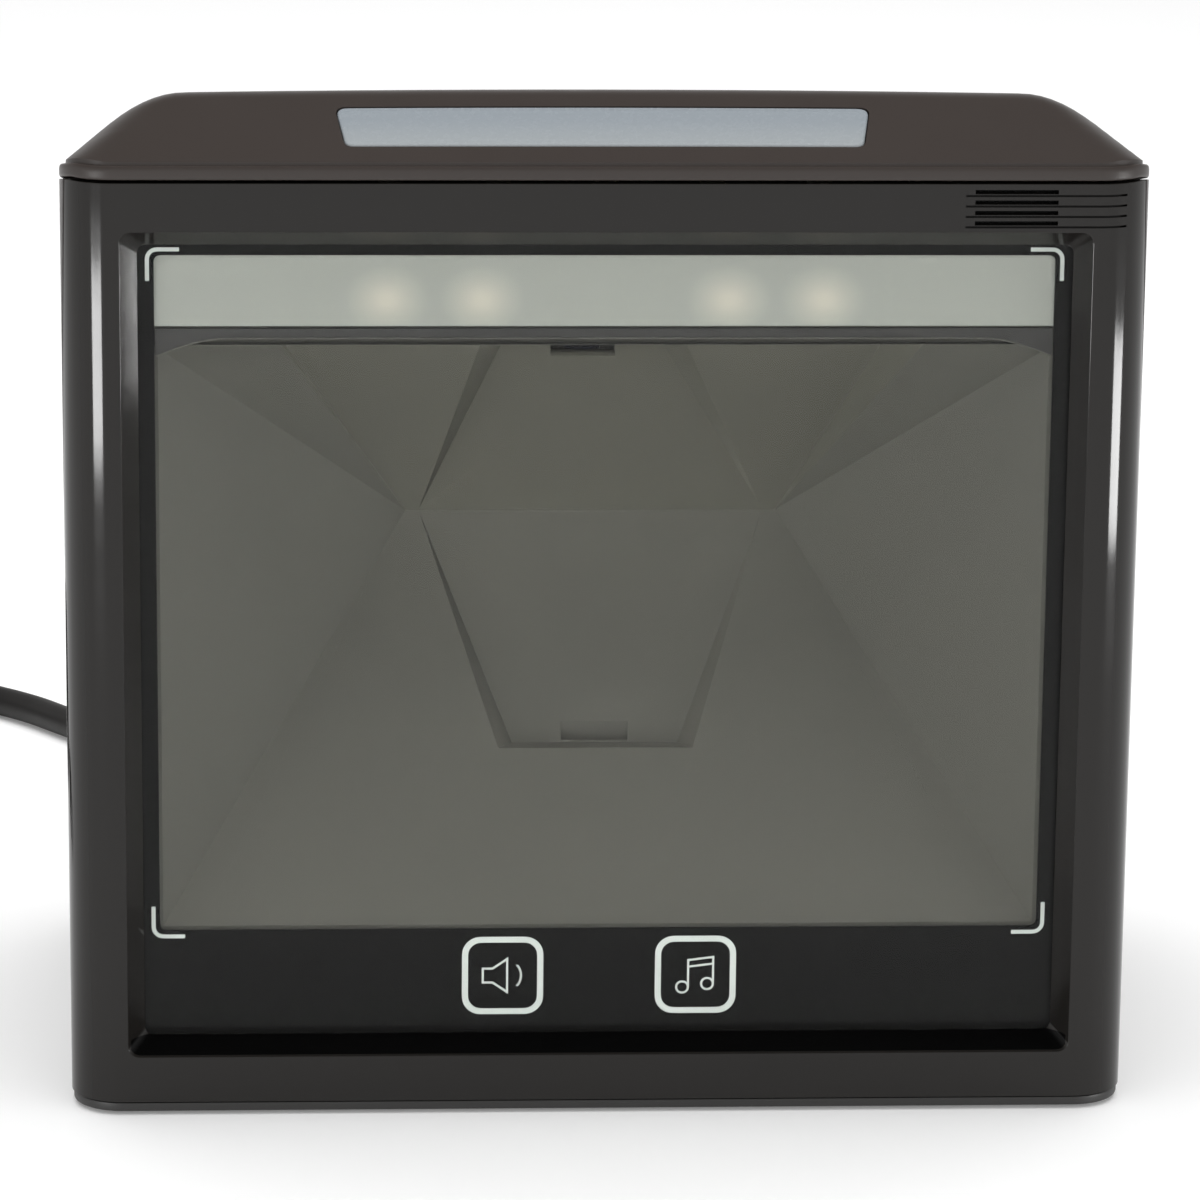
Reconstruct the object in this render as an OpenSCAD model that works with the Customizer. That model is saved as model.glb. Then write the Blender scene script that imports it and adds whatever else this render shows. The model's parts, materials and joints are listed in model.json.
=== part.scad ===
// Vertical hands-free barcode scanner for a checkout counter.
// Units are millimetres. X runs to the right seen from the front, Y runs to
// the rear, Z is up. The feet stand on z = 0 and the body is centred on x = 0
// and y = 0, so the front plane is at y = -body_d / 2.

/* [Housing] */
// Width across the housing
body_w = 152; // [144:1:164]
// Depth from front plane to rear wall
body_d = 100; // [94:1:112]
// Radius of the two upright front corners
front_corner = 7.5; // [5:0.5:10]
// Radius of the two upright rear corners
rear_corner = 14; // [8:0.5:18]
// Wall thickness of the mouldings
wall = 2.2; // [1.8:0.1:2.6]
// Depth of the side seam behind the front plane, at the top
seam_depth = 4; // [3:0.5:6]
// Lean of the side seam away from upright, degrees
seam_lean = 3.3; // [0:0.1:5]

/* [Top cover] */
// Height where the bezel ends and the lip of the cover begins
lip_z0 = 136.2; // [134:0.1:138]
// Height of the upright lip
lip_h = 2.2; // [1.5:0.1:3.5]
// Distance from the front plane back to the ridge
ridge_back = 14; // [10:0.5:18]
// Height of the ridge above the table
ridge_z = 146.2; // [143:0.1:150]
// Inset of the ridge ends from the sides
ridge_inset = 12; // [8:0.5:16]
// Fall of the roof behind the ridge, degrees
roof_fall = 10; // [6:0.5:14]
// Fall of the lower edge of the cover along the sides, degrees
edge_fall = 12; // [8:0.5:14]

/* [Window] */
// Half width of the bezel opening at the front plane
opening_half = 67.6; // [66:0.1:68]
// Bottom of the opening at the front plane
opening_z0 = 8.8; // [8:0.1:10]
// Top of the opening at the front plane
opening_z1 = 129; // [127:0.1:129.2]
// Width of the bevel around the opening
bevel = 2.4; // [1.8:0.1:3]
// Depth of the glass behind the front plane
glass_depth = 3.3; // [2.5:0.1:4]
// Thickness of the glass
glass_t = 2; // [1.5:0.1:2.2]
// Half width of the clear area inside the printed border
clear_half = 63; // [60:0.1:63]
// Lower edge of the clear area
clear_z0 = 26.3; // [26:0.1:28]
// Upper edge of the clear area
clear_z1 = 124.8; // [123:0.1:125]
// Side of each printed touch key
key_size = 11.7; // [10:0.1:13]
// Distance of each touch key from the middle
key_x = 13.9; // [12:0.05:18]
// Height of the middle of the touch keys
key_z = 19.2; // [18:0.1:20]

/* [Optics] */
// Thickness of the fold mirror
mirror_t = 3; // [2:0.5:3]
// Distance from front plane to the lower edge of the mirror
mirror_low_d = 44.5; // [44:0.5:46]
// Height of the lower edge of the mirror
mirror_low_z = 78.5; // [77:0.5:79]
// Wall thickness of the optical chamber
chamber_wall = 2; // [1.5:0.1:2.2]

/* [Speaker] */
// Diameter of the speaker cone with its surround
cone_d = 20.4; // [18:0.1:20.4]
// Travel of the cone each way
cone_travel = 0.4; // [0.2:0.1:0.6]

/* [Cord] */
// Outside diameter of the interface cord
cord_d = 5.2; // [4:0.1:5.4]
// Diameter of the coil through the middle of its turns
coil_d = 56; // [50:1:60]

/* [Hidden] */
$fn = 48;
half_w = body_w / 2;
half_d = body_d / 2;
front = -half_d;
lip_z1 = lip_z0 + lip_h;
base_z = 0.5;           // underside of the base plate, the feet stand below it
shell_z = 2;            // lower edge of bezel and rear housing
slope_back = 0.5;       // setback of the slope behind the lip
slope_run = ridge_back - slope_back;
slope = atan((ridge_z - lip_z1) / slope_run);
side_lean = atan((ridge_z - lip_z1 + slope_run * tan(edge_fall)) / ridge_inset);
glass_half = 66.9;
glass_z0 = 9;
glass_z1 = 128.4;
mask_t = 0.2;
mask_d = glass_depth + glass_t;
gasket_d = mask_d + mask_t;
flange_d = gasket_d + 1;
mirror_top_d = 12;
mirror_top_z = mirror_low_z + mirror_low_d - mirror_top_d;
mirror_low_half = 27.4;
mirror_top_half = 45.7;
floor_front_half = 57;   // half width of the chamber floor at the window
visor_z0 = 111.8;
visor_z1 = 114.2;
strip_z0 = 114.6;       // lower edge of the light strip
lens_back = 26.55;      // camera axis behind the front plane
speaker_x = half_w - wall - 13;
speaker_back = 24;
speaker_z = 116;
board_back = 70.4;      // front face of the main board
board_t = 1.6;
bay_half = 34;
bay_z0 = 8;
bay_z1 = 32;
bay_back = 88;          // inner wall of the connector bay
jack_z = 20;
host_x = -16;
aux_x = 14;
post_x = half_w - wall - 4.3;
post_front = 20;
post_rear = 84;
ear_x = 70.2;
coil_x = -142;
coil_y = 137;
plug_x = -168;
bundle_r = 7.8;
tie_t = 0.8;
coil_z = bundle_r + tie_t;
eps = 0.01;

// ---------------------------------------------------------------- shared shapes

// distance behind the front plane, as a y coordinate
function back(d) = front + d;

// upright outline of the housing, seen from above
module outline(inset) {
  w = half_w - inset;
  d = half_d - inset;
  f = front_corner - inset;
  r = rear_corner - inset;
  translate([-w, -d + f]) square([2 * w, 2 * d - f - r]);
  translate([-w + f, -d]) square([2 * (w - f), f + 1]);
  translate([-w + r, d - r - 1]) square([2 * (w - r), r + 1]);
  for (s = [-1, 1]) {
    translate([s * (w - f), -d + f]) circle(f);
    translate([s * (w - r), d - r]) circle(r);
  }
}

// everything under a tilted plane through a point, leaning back or sideways
module under(point, tilt_x, tilt_y) {
  translate(point) rotate([tilt_x, 0, 0]) rotate([0, tilt_y, 0])
    translate([-250, -250, -250]) cube([500, 500, 250]);
}

// whole outer volume of the housing, or the same volume inside its walls
module housing_volume(inset) {
  intersection() {
    translate([0, 0, shell_z]) linear_extrude(160) outline(inset);
    under([0, back(ridge_back), ridge_z - inset], -roof_fall, 0);
    under([0, back(slope_back + inset), lip_z1 - inset * 0.3], slope, 0);
    under([-half_w + inset, back(slope_back), lip_z1 - inset * 0.3], -edge_fall, -side_lean);
    under([half_w - inset, back(slope_back), lip_z1 - inset * 0.3], -edge_fall, side_lean);
    under([0, half_d - inset, 96], -72, 0);
  }
}

// everything below the seam under the top cover
module below_cover(gap) {
  intersection() {
    under([0, 0, lip_z0 - gap], 0, 0);
    under([0, back(3), lip_z0 - gap], -edge_fall, 0);
  }
}

// everything behind the leaning side seam
module behind_seam(shift) {
  translate([0, back(seam_depth + shift), lip_z0]) rotate([seam_lean, 0, 0])
    translate([-250, 0, -250]) cube([500, 250, 500]);
}

// a solid between two four-sided faces; each face lists its corners in order
module loft(near, far) {
  polyhedron(
    points = concat(near, far),
    faces = [[2, 1, 0], [3, 2, 0], [5, 6, 4], [6, 7, 4],
             [5, 4, 0], [1, 5, 0], [6, 5, 2], [5, 1, 2],
             [7, 6, 2], [3, 7, 2], [4, 7, 3], [0, 4, 3]]);
}

// four corners of an upright rectangle at a given distance behind the front
function upright(d, half, z0, z1) = [
  [-half, back(d), z0], [half, back(d), z0], [half, back(d), z1], [-half, back(d), z1]];

// box given by half width, depth range and height range
module slab(half, d0, d1, z0, z1) {
  translate([-half, back(d0), z0]) cube([2 * half, d1 - d0, z1 - z0]);
}

// cylinder along Y starting at a distance behind the front plane
module rod(x, d, z, r, length) {
  translate([x, back(d), z]) rotate([-90, 0, 0]) cylinder(r = r, h = length);
}

// square ring in the plane of the glass, corners rounded
module round_square(size, r) {
  h = size / 2 - r;
  square([size, size - 2 * r], center = true);
  square([size - 2 * r, size], center = true);
  for (x = [-h, h], z = [-h, h]) translate([x, z]) circle(r);
}

// places a flat drawing (x right, y up) at a distance behind the front plane
module printed(d, t) {
  translate([0, back(d + t), 0]) rotate([90, 0, 0]) linear_extrude(t) children();
}

// local frame on the sloping front of the top cover: y runs up the slope
module on_slope() {
  translate([0, back(slope_back), lip_z1]) rotate([slope, 0, 0]) children();
}

// ---------------------------------------------------------------- housing

// four fine grooves that run round the corner, with an open slot above each
module louvres() {
  pitch = 1.47;
  for (i = [0:3]) {
    z = 129.6 + i * pitch;
    intersection() {
      translate([49.6, front - 1, z]) cube([22.6, 10, 0.3]);
      difference() {
        translate([0, 0, z - 1]) linear_extrude(3) outline(-2);
        translate([0, 0, z - 2]) linear_extrude(5) outline(0.8);
      }
    }
    translate([50.9, front - 1, z + 0.4]) cube([11.6, 6, 0.6]);
  }
}

module front_bezel() {
  color([0.2, 0.19, 0.18]) difference() {
    union() {
      difference() {
        intersection() {
          translate([0, 0, shell_z]) linear_extrude(160) outline(0);
          below_cover(0);
        }
        behind_seam(0);
        difference() {
          translate([-half_w + wall, back(glass_depth), shell_z + wall])
            cube([body_w - 2 * wall, 30, lip_z0 - shell_z - 2 * wall]);
        }
      }
      for (s = [-1, 1], z = [18, 118])
        translate([s * ear_x - 2.9, back(glass_depth) - eps, z - 3.2])
          cube([5.8, flange_d - glass_depth + eps, 6.4]);
    }
    loft(upright(-eps, opening_half, opening_z0, opening_z1),
         upright(glass_depth + eps, opening_half - bevel,
                 opening_z0 + bevel, opening_z1 - bevel));
    slab(glass_half, glass_depth, glass_depth + 12, glass_z0, glass_z1);
    louvres();
    translate([49.5, back(2), 129.4]) cube([15.5, 6, 5.8]);
    for (s = [-1, 1], z = [18, 118]) rod(s * ear_x, 3, z, 1.1, 20);
  }
}

module lens_shape(grow) {
  polygon([[-35.9 - grow, 3.9 - grow], [35.9 + grow, 3.9 - grow],
           [37.2 + grow, 12.2 + grow], [-37.2 - grow, 12.2 + grow]]);
}

module top_cover() {
  color([0.27, 0.25, 0.24]) {
    difference() {
      housing_volume(0);
      housing_volume(wall);
      below_cover(0);
      on_slope() translate([0, 0, -20]) linear_extrude(40) lens_shape(0);
    }
    // ribs that carry the status light board
    intersection() {
      housing_volume(1);
      on_slope() for (s = [-1, 1])
        translate([s * 41 - 1, 3.4, -6.8]) cube([2, 9.4, 6]);
    }
  }
}

module rear_housing() {
  color([0.2, 0.19, 0.18]) difference() {
    union() {
      difference() {
        intersection() {
          housing_volume(0);
          below_cover(0);
          behind_seam(0);
        }
        housing_volume(wall);
        // shadow groove along the side seam
        difference() {
          behind_seam(-1);
          behind_seam(0.5);
          translate([0, 0, -1]) linear_extrude(170) outline(0.6);
        }
        slab(bay_half, bay_back, 120, bay_z0, bay_z1);
      }
      // posts for the base plate screws
      for (s = [-1, 1], d = [post_front, post_rear])
        translate([s * post_x, back(d), 4.5]) cylinder(r = 4.5, h = 12);
      // posts for the main board
      intersection() {
        housing_volume(1);
        for (s = [-1, 1], z = [44, 100])
          rod(s * 48, board_back + board_t, z, 3.5, 40);
      }
    }
    for (s = [-1, 1], d = [post_front, post_rear])
      translate([s * post_x, back(d), 4]) cylinder(r = 1.3, h = 9);
    for (s = [-1, 1], z = [44, 100]) rod(s * 48, board_back, z, 1.1, 9);
  }
}

// box let into the rear wall, with the sockets in its inner wall
module connector_bay() {
  color([0.1, 0.1, 0.1]) difference() {
    slab(bay_half + 2, bay_back - 2, body_d - wall, bay_z0 - 2, bay_z1 + 2);
    slab(bay_half, bay_back, 120, bay_z0, bay_z1);
    for (x = [host_x, aux_x])
      translate([x - 8, back(bay_back - 5), jack_z - 7]) cube([16, 10, 14]);
  }
}

module base_plate() {
  color([0.12, 0.12, 0.12]) difference() {
    union() {
      translate([0, 0, base_z]) linear_extrude(shell_z - base_z) outline(0.3);
      translate([0, 0, shell_z - eps]) linear_extrude(2.5 + eps) outline(wall + 0.3);
      for (x = [-30, 30], y = [-15, 15]) translate([x, y, 2]) cylinder(r = 5, h = 8);
    }
    // the bezel and the connector bay reach down behind the rim
    slab(half_w, -1, 12.4, shell_z, 8);
    slab(bay_half + 2.3, bay_back - 2.3, body_d, shell_z + 1, 8);
    for (s = [-1, 1], d = [post_front, post_rear]) {
      translate([s * post_x, back(d), 0]) cylinder(r = 1.7, h = 6);
      translate([s * post_x, back(d), 0]) cylinder(r = 3.2, h = 2.4);
    }
    for (x = [-58, 58], y = [-39, 39])
      translate([x, y, 0]) cylinder(r = 7, h = 1.3);
    for (x = [-30, 30], y = [-15, 15])
      translate([x, y, 0]) cylinder(r = 2.8, h = 9);
    translate([-22, -12, 0]) cube([44, 24, 0.7]);
  }
}

module rubber_feet() {
  color([0.08, 0.08, 0.08])
    for (x = [-58, 58], y = [-39, 39]) translate([x, y, 0]) {
      rotate_extrude() polygon([[0, 0], [6.2, 0], [7, 0.5], [7, 1.3], [0, 1.3]]);
    }
}

module rating_label() {
  color([0.75, 0.75, 0.75]) translate([-21, -11, 0.5]) cube([42, 22, 0.2]);
}

module threaded_inserts() {
  color([0.78, 0.62, 0.3])
    for (x = [-30, 30], y = [-15, 15]) translate([x, y, 1])
      difference() {
        cylinder(r = 2.8, h = 7);
        translate([0, 0, -1]) cylinder(r = 1.65, h = 9);
      }
}

module housing_screws() {
  color([0.6, 0.6, 0.62])
    for (s = [-1, 1], d = [post_front, post_rear]) translate([s * post_x, back(d), 0]) {
      difference() {
        translate([0, 0, 0.8]) cylinder(r = 2.9, h = 1.6);
        translate([-0.5, -2, 0.7]) cube([1, 4, 0.8]);
        translate([-2, -0.5, 0.7]) cube([4, 1, 0.8]);
      }
      translate([0, 0, 2.4 - eps]) cylinder(r = 1.3, h = 9);
    }
}

// ---------------------------------------------------------------- status light

module status_lens() {
  color([0.72, 0.75, 0.77]) on_slope() {
    translate([0, 0, -wall]) linear_extrude(wall) lens_shape(0);
    translate([0, 0, -wall - 1.2]) linear_extrude(1.2 + eps) lens_shape(0.8);
  }
}

module status_board() {
  color([0.1, 0.35, 0.2]) on_slope() translate([-43, 4, -8.4]) cube([86, 8.2, 1.6]);
}

module status_leds() {
  color([0.9, 0.9, 0.85]) on_slope() for (i = [-2:2])
    translate([i * 15 - 1.75, 6.7, -6.8]) cube([3.5, 2.8, 1.9]);
}

// ---------------------------------------------------------------- window

module window_glass() {
  color([0.6, 0.65, 0.65, 0.3])
    slab(glass_half, glass_depth, glass_depth + glass_t, glass_z0, glass_z1);
}

// four corner brackets that frame the reading area
module bracket_drawing() {
  outer = 64.2;
  leg = 4.75;
  stroke = 0.57;
  r = 1.7;
  for (s = [-1, 1], t = [-1, 1])
    translate([s * outer, (t > 0) ? 125.9 : 25.1]) scale([-s, -t]) {
      translate([r, 0]) square([leg - r, stroke]);
      translate([0, r]) square([stroke, leg - r]);
      intersection() {
        square(r);
        translate([r, r]) difference() {
          circle(r);
          circle(r - stroke);
        }
      }
    }
}

// clear reading area inside the printed border, with slightly rounded corners
module clear_area() {
  r = 1;
  translate([-clear_half + r, clear_z0])
    square([2 * (clear_half - r), clear_z1 - clear_z0]);
  translate([-clear_half, clear_z0 + r])
    square([2 * clear_half, clear_z1 - clear_z0 - 2 * r]);
  for (s = [-1, 1], z = [clear_z0 + r, clear_z1 - r])
    translate([s * (clear_half - r), z]) circle(r);
}

module key_ring() {
  difference() {
    round_square(key_size, 2.7);
    round_square(key_size - 1.76, 1.9);
  }
}

// outlined loudspeaker with one sound arc
module volume_drawing() {
  t = 0.3;
  difference() {
    polygon([[-3, -1.2], [-1.5, -1.2], [0.8, -2.8], [0.8, 2.8], [-1.5, 1.2], [-3, 1.2]]);
    polygon([[-3 + t, -1.2 + t], [-1.4, -1.2 + t], [0.8 - t, -2.2], [0.8 - t, 2.2],
             [-1.4, 1.2 - t], [-3 + t, 1.2 - t]]);
  }
  intersection() {
    translate([0.2, 0]) difference() {
      circle(2.6);
      circle(2.6 - t);
    }
    translate([1.9, -1.6]) square([2, 3.2]);
  }
}

// outlined pair of beamed notes
module tone_drawing() {
  t = 0.3;
  for (x = [-1.9, 1.7]) translate([x, -1.9 + (x > 0 ? 0.5 : 0)]) difference() {
    circle(1);
    circle(1 - t);
  }
  translate([-1.2, -1.9]) square([t, 4.2]);
  translate([2.4, -1.4]) square([t, 4.2]);
  polygon([[-1.2, 2.3], [2.7, 2.8], [2.7, 2.5], [-1.2, 2]]);
  polygon([[-1.2, 1.3], [2.7, 1.8], [2.7, 1.5], [-1.2, 1]]);
}

module volume_key_mark() {
  color([0.8, 0.83, 0.82]) printed(mask_d, mask_t) translate([-key_x, key_z]) {
    key_ring();
    volume_drawing();
  }
}

module tone_key_mark() {
  color([0.8, 0.83, 0.82]) printed(mask_d, mask_t) translate([key_x, key_z]) {
    key_ring();
    tone_drawing();
  }
}

module corner_brackets() {
  color([0.75, 0.8, 0.78]) printed(mask_d, mask_t) bracket_drawing();
}

module window_mask() {
  color([0.08, 0.08, 0.08]) printed(mask_d, mask_t) difference() {
    translate([-glass_half, glass_z0]) square([2 * glass_half, glass_z1 - glass_z0]);
    clear_area();
    bracket_drawing();
    translate([-key_x, key_z]) {
      key_ring();
      volume_drawing();
    }
    translate([key_x, key_z]) {
      key_ring();
      tone_drawing();
    }
  }
}

module window_gasket() {
  color([0.1, 0.1, 0.1]) difference() {
    slab(glass_half, gasket_d, flange_d, glass_z0, glass_z1);
    slab(glass_half - 2.4, gasket_d - 1, flange_d + 1, glass_z0 + 2.4, glass_z1 - 2.4);
  }
}

module touch_board() {
  color([0.12, 0.3, 0.2]) slab(26, gasket_d, flange_d, 12, 25.4);
}

module touch_cable() {
  color([0.7, 0.45, 0.15]) {
    translate([-5, back(flange_d), 10.2]) cube([10, 0.2, 4]);
    translate([-5, back(flange_d), 10]) cube([10, board_back - flange_d, 0.2]);
  }
}

// ---------------------------------------------------------------- optics

// the mirror as a slab whose reflecting face lies on the 45 degree plane
module mirror_slab(t, grow) {
  length = (mirror_low_d - mirror_top_d) * sqrt(2);
  translate([0, back(mirror_low_d), mirror_low_z]) rotate([135, 0, 0])
    translate([0, 0, -t]) linear_extrude(t)
      polygon([[-mirror_low_half - grow, 0], [mirror_low_half + grow, 0],
               [mirror_top_half + grow, length], [-mirror_top_half - grow, length]]);
}

// outer skin of the chamber, between the window frame and the mirror
module chamber_skin(g) {
  loft(upright(flange_d, clear_half + g, clear_z0 - 0.9 - g, mirror_top_z + 1 + g),
       [[-mirror_low_half - g, back(mirror_low_d + g), mirror_low_z - g * 0.2],
        [mirror_low_half + g, back(mirror_low_d + g), mirror_low_z - g * 0.2],
        [mirror_top_half + g, back(mirror_top_d + g), mirror_top_z + g],
        [-mirror_top_half - g, back(mirror_top_d + g), mirror_top_z + g]]);
}

// hollow of the chamber: sloping floor, flared sides and the mirror face
module chamber_hollow() {
  f = back(flange_d - 0.5);
  low = clear_z0 - 0.4;
  high = mirror_top_z + 0.8;
  polyhedron(
    points = [[-clear_half, f, low], [-floor_front_half, f, low],
              [floor_front_half, f, low], [clear_half, f, low],
              [clear_half, f, high], [-clear_half, f, high],
              [-mirror_low_half, back(mirror_low_d), mirror_low_z],
              [mirror_low_half, back(mirror_low_d), mirror_low_z],
              [mirror_top_half, back(mirror_top_d), mirror_top_z],
              [-mirror_top_half, back(mirror_top_d), mirror_top_z]],
    faces = [[5, 4, 3, 2, 1, 0], [6, 7, 8, 9], [1, 2, 7, 6],
             [0, 1, 6], [0, 6, 5], [5, 6, 9],
             [7, 2, 3], [4, 7, 3], [8, 7, 4],
             [9, 8, 4, 5]]);
}

// shallow trough in the chamber floor, from the mirror's lower edge down to a
// narrow ledge in front of the camera opening
module trough(g) {
  low = [[12.1 + g, back(25.6 + g), 48.2 - g], [18.3 + g, back(16), 48.5 - g]];
  high = [[25.3 + g, back(44.3 + g), 78.2], [31.5 + g, back(34.7 + g), 78.5]];
  function pair(p) = [[-p[0], p[1], p[2]], p];
  loft([pair(low[0])[0], low[0], low[1], pair(low[1])[0]],
       [pair(high[0])[0], high[0], high[1], pair(high[1])[0]]);
}

module chamber_body() {
  g = chamber_wall;
  difference() {
    union() {
      // flange behind the glass, with four ears
      slab(glass_half, flange_d, flange_d + 2, glass_z0, glass_z1);
      for (s = [-1, 1], z = [18, 118])
        translate([s * ear_x - 3.4, back(flange_d), z - 3.5]) cube([6.6, 2, 7]);
      chamber_skin(g);
      trough(g);
      // hood over the illumination board
      slab(64.7, flange_d + 1, 12, clear_z1, clear_z1 + 1.8);
    }
    chamber_hollow();
    trough(0);
    slab(clear_half, 0, 12.5, strip_z0, clear_z1);
    mirror_slab(mirror_t + 6, 0);
    slab(4.9, 25.8, 27.3, 40, 52);
    slab(6, flange_d - 1, flange_d + 3, 9.6, 14.4);
    slab(clear_half, 0, flange_d + 1.5, visor_z0, visor_z1);
    for (s = [-1, 1], z = [18, 118]) rod(s * ear_x, 4, z, 1.3, 20);
  }
}

// space between the two side edges of the sloping floor
module between_floor_edges() {
  run = (floor_front_half - mirror_low_half) / (mirror_low_d - 6);
  function half(d) = mirror_low_half + 0.4 + (mirror_low_d - d) * run;
  linear_extrude(140) polygon([
    [-half(2), back(2)], [half(2), back(2)], [half(60), back(60)], [-half(60), back(60)]]);
}

module optical_chamber() {
  color([0.38, 0.38, 0.36]) intersection() {
    chamber_body();
    slab(90, 0, flange_d + 2, 0, 140);
  }
}

module chamber_floor() {
  g = chamber_wall;
  color([0.38, 0.38, 0.36]) difference() {
    intersection() {
      union() {
        chamber_skin(g);
        trough(g);
      }
      slab(90, flange_d + 2, 70, 0, 100);
      between_floor_edges();
    }
    chamber_hollow();
    trough(0);
    mirror_slab(mirror_t + 6, 0);
    slab(4.9, 25.8, 27.3, 40, 52);
  }
}

module chamber_roof() {
  g = chamber_wall;
  color([0.38, 0.38, 0.36]) difference() {
    intersection() {
      union() {
        chamber_skin(g);
        slab(64.7, flange_d + 1, 12, clear_z1, clear_z1 + 1.8);
      }
      slab(90, flange_d + 2, 70, 100, 140);
      between_floor_edges();
    }
    chamber_hollow();
    slab(clear_half, 0, 12.5, strip_z0, clear_z1);
    mirror_slab(mirror_t + 6, 0);
  }
}

module chamber_sides() {
  color([0.38, 0.38, 0.36]) difference() {
    chamber_body();
    slab(90, 0, flange_d + 2, 0, 140);
    between_floor_edges();
  }
}

module fold_mirror() {
  color([0.8, 0.82, 0.82]) mirror_slab(mirror_t, 0);
}

// spring clips that press the mirror into its frame
module mirror_clips() {
  color([0.7, 0.7, 0.72])
    translate([0, back(mirror_low_d), mirror_low_z]) rotate([135, 0, 0])
      for (s = [-1, 1], v = [7, 38])
        translate([s * (mirror_low_half - 2 + v * 0.36) - 5, v - 4, -mirror_t - 0.5])
          cube([14, 8, 0.5]);
}

module light_visor() {
  color([0.15, 0.15, 0.15]) difference() {
    slab(clear_half, gasket_d, flange_d + 1.5, visor_z0, visor_z1);
    slab(clear_half - 2, gasket_d - 1, gasket_d + 0.6, visor_z0 - 0.4, visor_z0 + 0.4);
  }
}

module light_diffuser() {
  color([0.85, 0.86, 0.86]) difference() {
    slab(clear_half, gasket_d + 0.4, flange_d + 1.6, strip_z0, clear_z1);
    for (x = [-30.6, -17.3, 17.3, 30.6])
      translate([x - 3, back(flange_d + 1.2), 116]) cube([6, 2, 5]);
  }
}

module illumination_board() {
  color([0.1, 0.35, 0.2]) slab(62, 12, 13.6, strip_z0 - 0.2, 126.4);
}

module illumination_leds() {
  color([0.95, 0.9, 0.75])
    for (x = [-30.6, -17.3, 17.3, 30.6])
      translate([x - 1.75, back(10.1), 116.9]) cube([3.5, 1.9, 2.8]);
}

module camera_housing() {
  color([0.1, 0.1, 0.1]) difference() {
    translate([-9.5, back(19.4), 19.6]) cube([19, 14.6, 20.4]);
    translate([-7.5, back(21.4), 19]) cube([15, 10.6, 18.5]);
    translate([0, back(lens_back), 30]) cylinder(r = 4.5, h = 20);
  }
}

module lens_barrel() {
  color([0.05, 0.05, 0.05]) translate([0, back(lens_back), 0]) difference() {
    union() {
      translate([0, 0, 30]) cylinder(r = 4.4, h = 11);
      translate([0, 0, 41 - eps]) cylinder(r = 3.4, h = 5 + eps);
    }
    translate([0, 0, 29]) cylinder(r = 2.6, h = 14.5);
    translate([0, 0, 43.3]) cylinder(r = 2.8, h = 4);
  }
}

module camera_lens() {
  color([0.35, 0.4, 0.55]) translate([0, back(lens_back), 43.5]) intersection() {
    cylinder(r = 2.8, h = 2.2);
    translate([0, 0, -2.6]) sphere(r = 4.8);
  }
}

module image_sensor() {
  color([0.25, 0.25, 0.3]) translate([-4.5, back(lens_back - 4.5), 19.6]) cube([9, 9, 1.4]);
}

module camera_board() {
  color([0.1, 0.3, 0.2]) translate([-14, back(17), 18]) cube([28, 24, 1.6]);
}

// ---------------------------------------------------------------- electronics

module main_board() {
  color([0.1, 0.35, 0.2]) difference() {
    slab(56, board_back, board_back + board_t, 9, 110);
    for (s = [-1, 1], z = [44, 100]) rod(s * 48, board_back - 2, z, 1.3, 6);
  }
}

module board_chips() {
  color([0.08, 0.08, 0.09]) {
    translate([-30, back(board_back - 1.4), 60]) cube([18, 1.4, 18]);
    translate([-6, back(board_back - 1.2), 64]) cube([12, 1.2, 10]);
    translate([14, back(board_back - 1.2), 50]) cube([10, 1.2, 8]);
    translate([30, back(board_back - 4), 24]) cube([9, 4, 9]);
    rod(-34, board_back - 7, 26, 3.2, 7);
    rod(-24, board_back - 7, 26, 3.2, 7);
    translate([-9, back(board_back - 4.4), 92]) cube([18, 4.4, 5]);
  }
}

module board_screws() {
  color([0.6, 0.6, 0.62]) for (s = [-1, 1], z = [44, 100]) {
    difference() {
      rod(s * 48, board_back - 1.6, z, 2.6, 1.6);
      translate([s * 48 - 1.8, back(board_back - 2), z - 0.4]) cube([3.6, 1.2, 0.8]);
      translate([s * 48 - 0.4, back(board_back - 2), z - 1.8]) cube([0.8, 1.2, 3.6]);
    }
    rod(s * 48, board_back - eps, z, 1.1, 8);
  }
}

module chamber_screws() {
  color([0.6, 0.6, 0.62]) for (s = [-1, 1], z = [18, 118]) {
    difference() {
      rod(s * ear_x, flange_d + 2, z, 2.5, 1.6);
      translate([s * ear_x - 1.8, back(flange_d + 2.8), z - 0.4]) cube([3.6, 1.2, 0.8]);
      translate([s * ear_x - 0.4, back(flange_d + 2.8), z - 1.8]) cube([0.8, 1.2, 3.6]);
    }
    rod(s * ear_x, 3.4, z, 1.1, flange_d - 1.4 + eps);
  }
}

// modular socket: opening faces the rear, latch slot on top
module socket(x) {
  difference() {
    translate([x - 7.9, back(board_back + board_t), jack_z - 6.9])
      cube([15.8, bay_back - board_back - board_t, 13.8]);
    translate([x - 6, back(bay_back - 12.5), jack_z - 4.6]) cube([12, 20, 7]);
    translate([x - 3.2, back(bay_back - 12.5), jack_z + 2.3]) cube([6.4, 20, 2.2]);
  }
}

module host_jack() {
  color([0.15, 0.15, 0.16]) socket(host_x);
}

module aux_jack() {
  color([0.15, 0.15, 0.16]) socket(aux_x);
}

// ---------------------------------------------------------------- speaker

module speaker_frame() {
  color([0.55, 0.55, 0.57]) difference() {
    union() {
      translate([speaker_x - 13, back(speaker_back), speaker_z - 13]) cube([26, 1.6, 26]);
      rod(speaker_x, speaker_back + 1, speaker_z, 11.6, 6.6);
    }
    rod(speaker_x, speaker_back - 1, speaker_z, 10.5, 7.4);
    rod(speaker_x, speaker_back, speaker_z, 4.6, 20);
    for (a = [0:60:300])
      translate([speaker_x, 0, speaker_z]) rotate([0, a, 0])
        rod(7.6, speaker_back + 2, 0, 1.6, 12);
  }
}

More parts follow.
